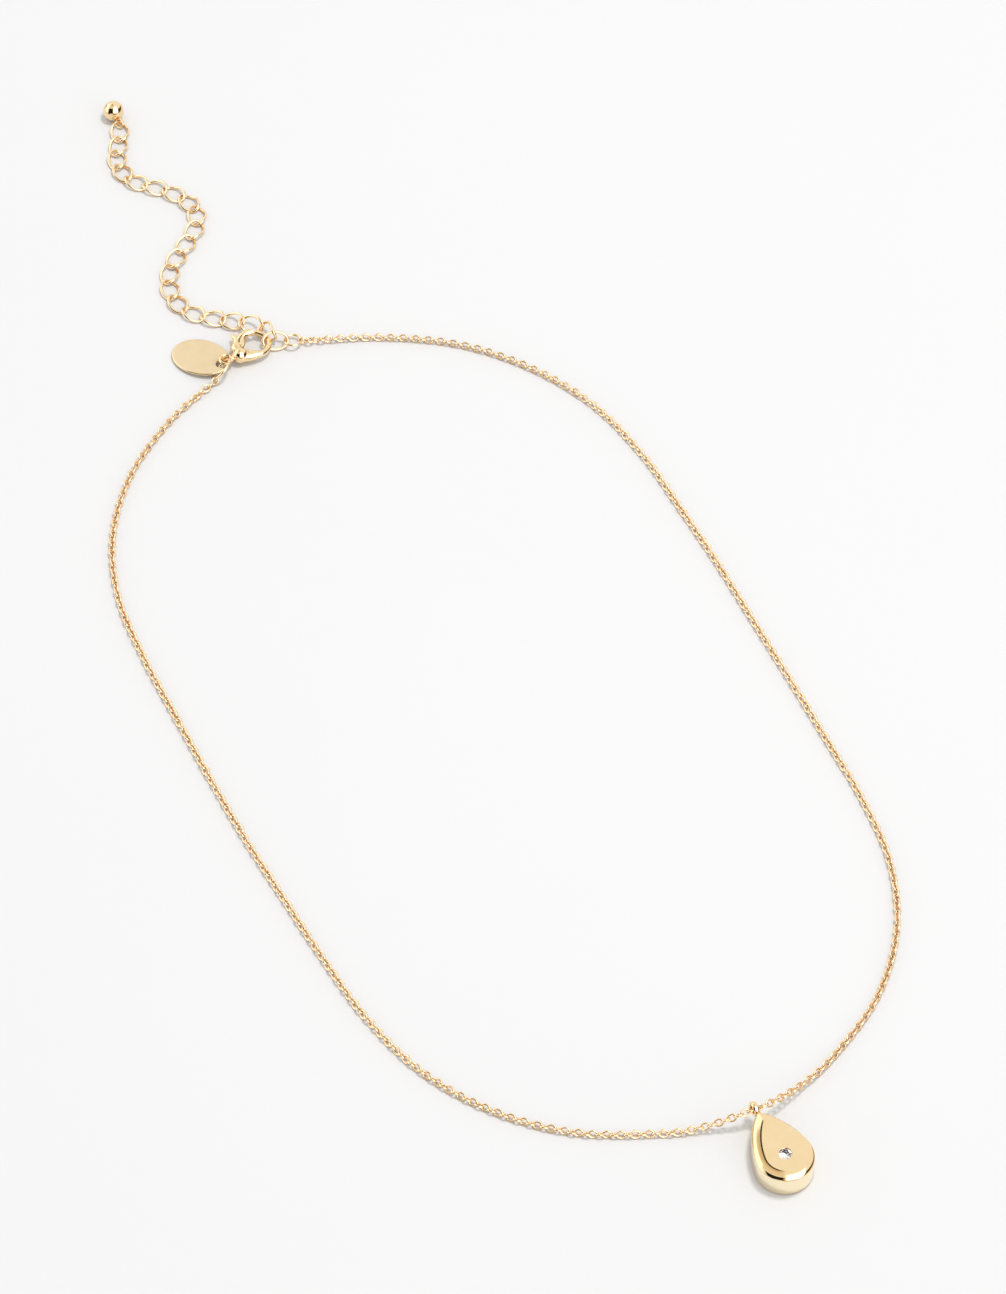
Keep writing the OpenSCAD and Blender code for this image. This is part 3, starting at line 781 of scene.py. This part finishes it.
def world():
    """Studio round the table: pale walls, with warm boards, bright panels and dark gaps for the metal to mirror."""
    w = bpy.data.worlds.new("studio")
    scene.world = w
    w.use_nodes = True
    tree = w.node_tree
    background = tree.nodes["Background"]
    coords = tree.nodes.new("ShaderNodeTexCoord")
    # The way that the pendant's face mirrors the camera's view, and two ways across it: to the camera, to the right
    x, y = ORIGIN_PX[0] - IMAGE_W / 2, ORIGIN_PX[1] - IMAGE_H / 2
    level = FOCAL_PX * math.cos(CAMERA_PITCH) - y * math.sin(CAMERA_PITCH)
    drop = y * math.cos(CAMERA_PITCH) + FOCAL_PX * math.sin(CAMERA_PITCH)
    mirror = unit(x * RIGHT + level * AWAY + drop * UP)
    away = unit(mirror * [1, 1, 0])
    nearer = unit(-away + (away @ mirror) * mirror)
    rightward = np.cross(mirror, nearer)

    def math_node(kind, *values):
        n = tree.nodes.new("ShaderNodeMath")
        n.operation = kind
        for k, v in enumerate(values):
            if isinstance(v, float):
                n.inputs[k].default_value = v
            else:
                tree.links.new(v, n.inputs[k])
        return n.outputs[0]

    def along(v):
        n = tree.nodes.new("ShaderNodeVectorMath")
        n.operation = "DOT_PRODUCT"
        n.inputs[1].default_value = v
        tree.links.new(coords.outputs["Generated"], n.inputs[0])
        return n.outputs["Value"]

    off = math_node("DIVIDE", math_node("ARCCOSINE", along(mirror)), math.pi)
    turn = math_node("DIVIDE", math_node("ARCTAN2", along(rightward), along(nearer)), 2 * math.pi)
    turn = math_node("ADD", turn, 0.5)

    def window(source, span, start, edges):
        """Share from 0 to 1 that is full between the two middle edges, in degrees from the start of the span."""
        r = tree.nodes.new("ShaderNodeValToRGB")
        e = r.color_ramp.elements
        stops = [(d - start) / span for d in edges]
        while len(e) < 4:
            e.new(0.5)
        for k, (at, v) in enumerate(zip(stops, (0, 1, 1, 0))):
            e[k].position = at
            e[k].color = (*grey(v), 1.0)
        tree.links.new(source, r.inputs["Fac"])
        return r.outputs["Color"]

    base = tree.nodes.new("ShaderNodeRGB")
    base.outputs[0].default_value = (*STUDIO, 1.0)
    colour = base.outputs[0]
    for tint, off_edges, turn_edges in PANELS:
        share = math_node("MULTIPLY", window(off, 180, 0, off_edges), window(turn, 360, -180, turn_edges))
        colour = mixed(tree, share, colour, tint)
    seen = tree.nodes.new("ShaderNodeLightPath")
    colour = mixed(tree, seen.outputs["Is Diffuse Ray"], colour, SKY)
    colour = mixed(tree, seen.outputs["Is Camera Ray"], colour, BACKDROP)
    tree.links.new(colour, background.inputs["Color"])
    background.inputs["Strength"].default_value = 1.0


# Light of the walls, what the camera sees beyond the table, and what the table gets from all round.
# Panels: light, then four edges in degrees off the direction that the pendant's face mirrors, then four
# edges in degrees round that direction, from 0 towards the camera to 90 at the right
STUDIO = (1.0, 1.0, 1.0)
BACKDROP = (0.95, 0.95, 0.94)
SKY = (0.8, 0.8, 0.8)
PANELS = [
    ((0.86, 0.77, 0.64), (10, 12, 46, 51), (-100, -95, -2, 7)),
    ((0.70, 0.58, 0.42), (10, 12, 20, 28), (-100, -95, -16, 2)),
    ((0.03, 0.02, 0.01), (6.6, 7.6, 12.8, 14.2), (-108, -103, -14, 4)),
    (grey(1.6), (31, 36, 104, 110), (-128, -118, -66, -56)),
    (grey(1.5), (13, 18, 36, 40), (-130, -120, -104, -99)),
    (grey(2.8), (30, 36, 97, 101), (4, 14, 56, 62)),
    ((0.02, 0.015, 0.01), (52, 57, 106, 111), (-53, -46, -1, 8)),
    ((0.02, 0.015, 0.01), (100, 104, 132, 137), (-78, -66, -34, -24)),
    ((0.35, 0.20, 0.09), (104, 108, 124, 130), (-4, 2, 44, 56)),
    ((0.10, 0.05, 0.02), (56, 60, 100, 106), (60, 66, 130, 145)),
    ((0.30, 0.17, 0.08), (60, 64, 116, 122), (-142, -130, -106, -99)),
]


def area_light(name, towards, distance, size, power):
    """Round light that shines on the middle of the necklace, from a direction given as right, away and up."""
    data = bpy.data.lights.new(name, "AREA")
    data.shape = "DISK"
    data.size = size
    data.energy = power
    o = bpy.data.objects.new(name, data)
    way = unit(towards[0] * RIGHT + towards[1] * AWAY + towards[2] * UP)
    o.location = way * distance
    o.visible_glossy = False
    scene.collection.objects.link(o)
    o.rotation_mode = "QUATERNION"
    o.rotation_quaternion = (-Vector(way)).to_track_quat("-Z", "Y")


def camera():
    """The photograph's camera, as found from how the chain's pitch changes round the loop."""
    x, y = ORIGIN_PX[0] - IMAGE_W / 2, ORIGIN_PX[1] - IMAGE_H / 2
    t = CAMERA_HEIGHT / (y * math.cos(CAMERA_PITCH) + FOCAL_PX * math.sin(CAMERA_PITCH))
    shift = t * x * RIGHT + t * (FOCAL_PX * math.cos(CAMERA_PITCH) - y * math.sin(CAMERA_PITCH)) * AWAY
    eye = (CAMERA_HEIGHT * UP - shift - MID) * MM
    look = math.cos(CAMERA_PITCH) * AWAY - math.sin(CAMERA_PITCH) * UP
    above = np.cross(RIGHT, look)
    data = bpy.data.cameras.new("camera")
    data.sensor_width = 36.0
    data.lens = 36.0 * FOCAL_PX / IMAGE_H
    data.clip_start, data.clip_end = 0.05, 20.0
    o = bpy.data.objects.new("camera", data)
    scene.collection.objects.link(o)
    rows = np.column_stack([RIGHT, above, -look])
    o.matrix_world = Matrix([[*rows[0], eye[0]], [*rows[1], eye[1]], [*rows[2], eye[2]], [0, 0, 0, 1]])
    scene.camera = o


camera()
floor()
world()
area_light("key", (0.22, 0.08, 0.97), 1.0, 0.2, 4.4)
fine_chain()
extender()
rings()
end_ball()
pendant()
stone()
clasp()
tag()
scene.view_settings.view_transform = "Standard"
